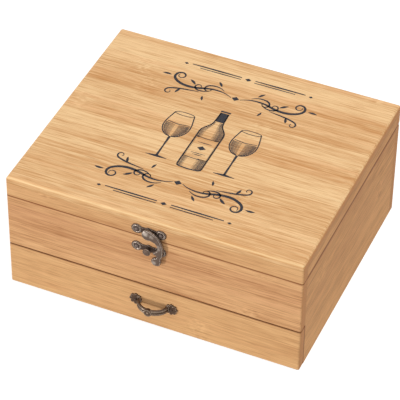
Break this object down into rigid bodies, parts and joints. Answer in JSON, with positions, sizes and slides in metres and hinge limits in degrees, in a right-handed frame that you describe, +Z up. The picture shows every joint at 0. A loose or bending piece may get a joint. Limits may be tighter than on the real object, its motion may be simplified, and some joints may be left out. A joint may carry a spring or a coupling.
{
  "type": "wine accessory gift box",
  "caption": "Bamboo keepsake box with a hinged lid, a hook latch on the front, a fitted insert and a shallow drawer with a bow pull.",
  "frame": {"origin": "middle of the footprint, on the flat underside that rests on the table", "axes": "+Z up, -Y towards the front with the latch and the drawer, +X to the right seen from there"},
  "size_m": [0.25, 0.2245, 0.11],
  "materials": {
    "bamboo_board": "matt lacquered",
    "bamboo_panel": "matt lacquered",
    "antique_bronze": "antiqued",
    "insert_foam": "flocked foam"
  },
  "bodies": {
    "case": {"left_side": "bamboo_board", "right_side": "bamboo_board", "front_board": "bamboo_board", "back_board": "bamboo_board", "base_panel": "bamboo_panel", "divider_panel": "bamboo_panel", "accessory_insert": "insert_foam", "keeper_plate": "antique_bronze", "keeper_peg": "antique_bronze", "keeper_nails": "antique_bronze", "hinge_left_case_leaf": "antique_bronze", "hinge_right_case_leaf": "antique_bronze", "hinge_case_screws": "antique_bronze", "hinge_pins": "antique_bronze"},
    "lid": {"lid_front_rail": "bamboo_board", "lid_back_rail": "bamboo_board", "lid_left_rail": "bamboo_board", "lid_right_rail": "bamboo_board", "lid_panel": "bamboo_panel", "latch_plate": "antique_bronze", "latch_plate_nails": "antique_bronze", "hinge_left_lid_leaf": "antique_bronze", "hinge_right_lid_leaf": "antique_bronze", "hinge_lid_screws": "antique_bronze"},
    "latch": {"latch_arm": "antique_bronze"},
    "drawer": {"drawer_front": "bamboo_board", "drawer_left_side": "bamboo_board", "drawer_right_side": "bamboo_board", "drawer_back": "bamboo_board", "drawer_bottom": "bamboo_panel", "drawer_handle": "antique_bronze", "drawer_handle_nails": "antique_bronze"}
  },
  "joints": [
    {"name": "lid_hinge", "type": "hinge", "parent": "case", "child": "lid", "pos_m": [0, 0.103, 0.0915], "axis": [-1, 0, 0], "range_deg": [0, 100]},
    {"name": "latch_swing", "type": "hinge", "parent": "lid", "child": "latch", "pos_m": [-0.0022, -0.106, 0.0985], "axis": [0, -1, 0], "range_deg": [-8, 110]},
    {"name": "drawer_slide", "type": "slide", "parent": "case", "child": "drawer", "axis": [0, -1, 0], "range_m": [0, 0.15]}
  ]
}
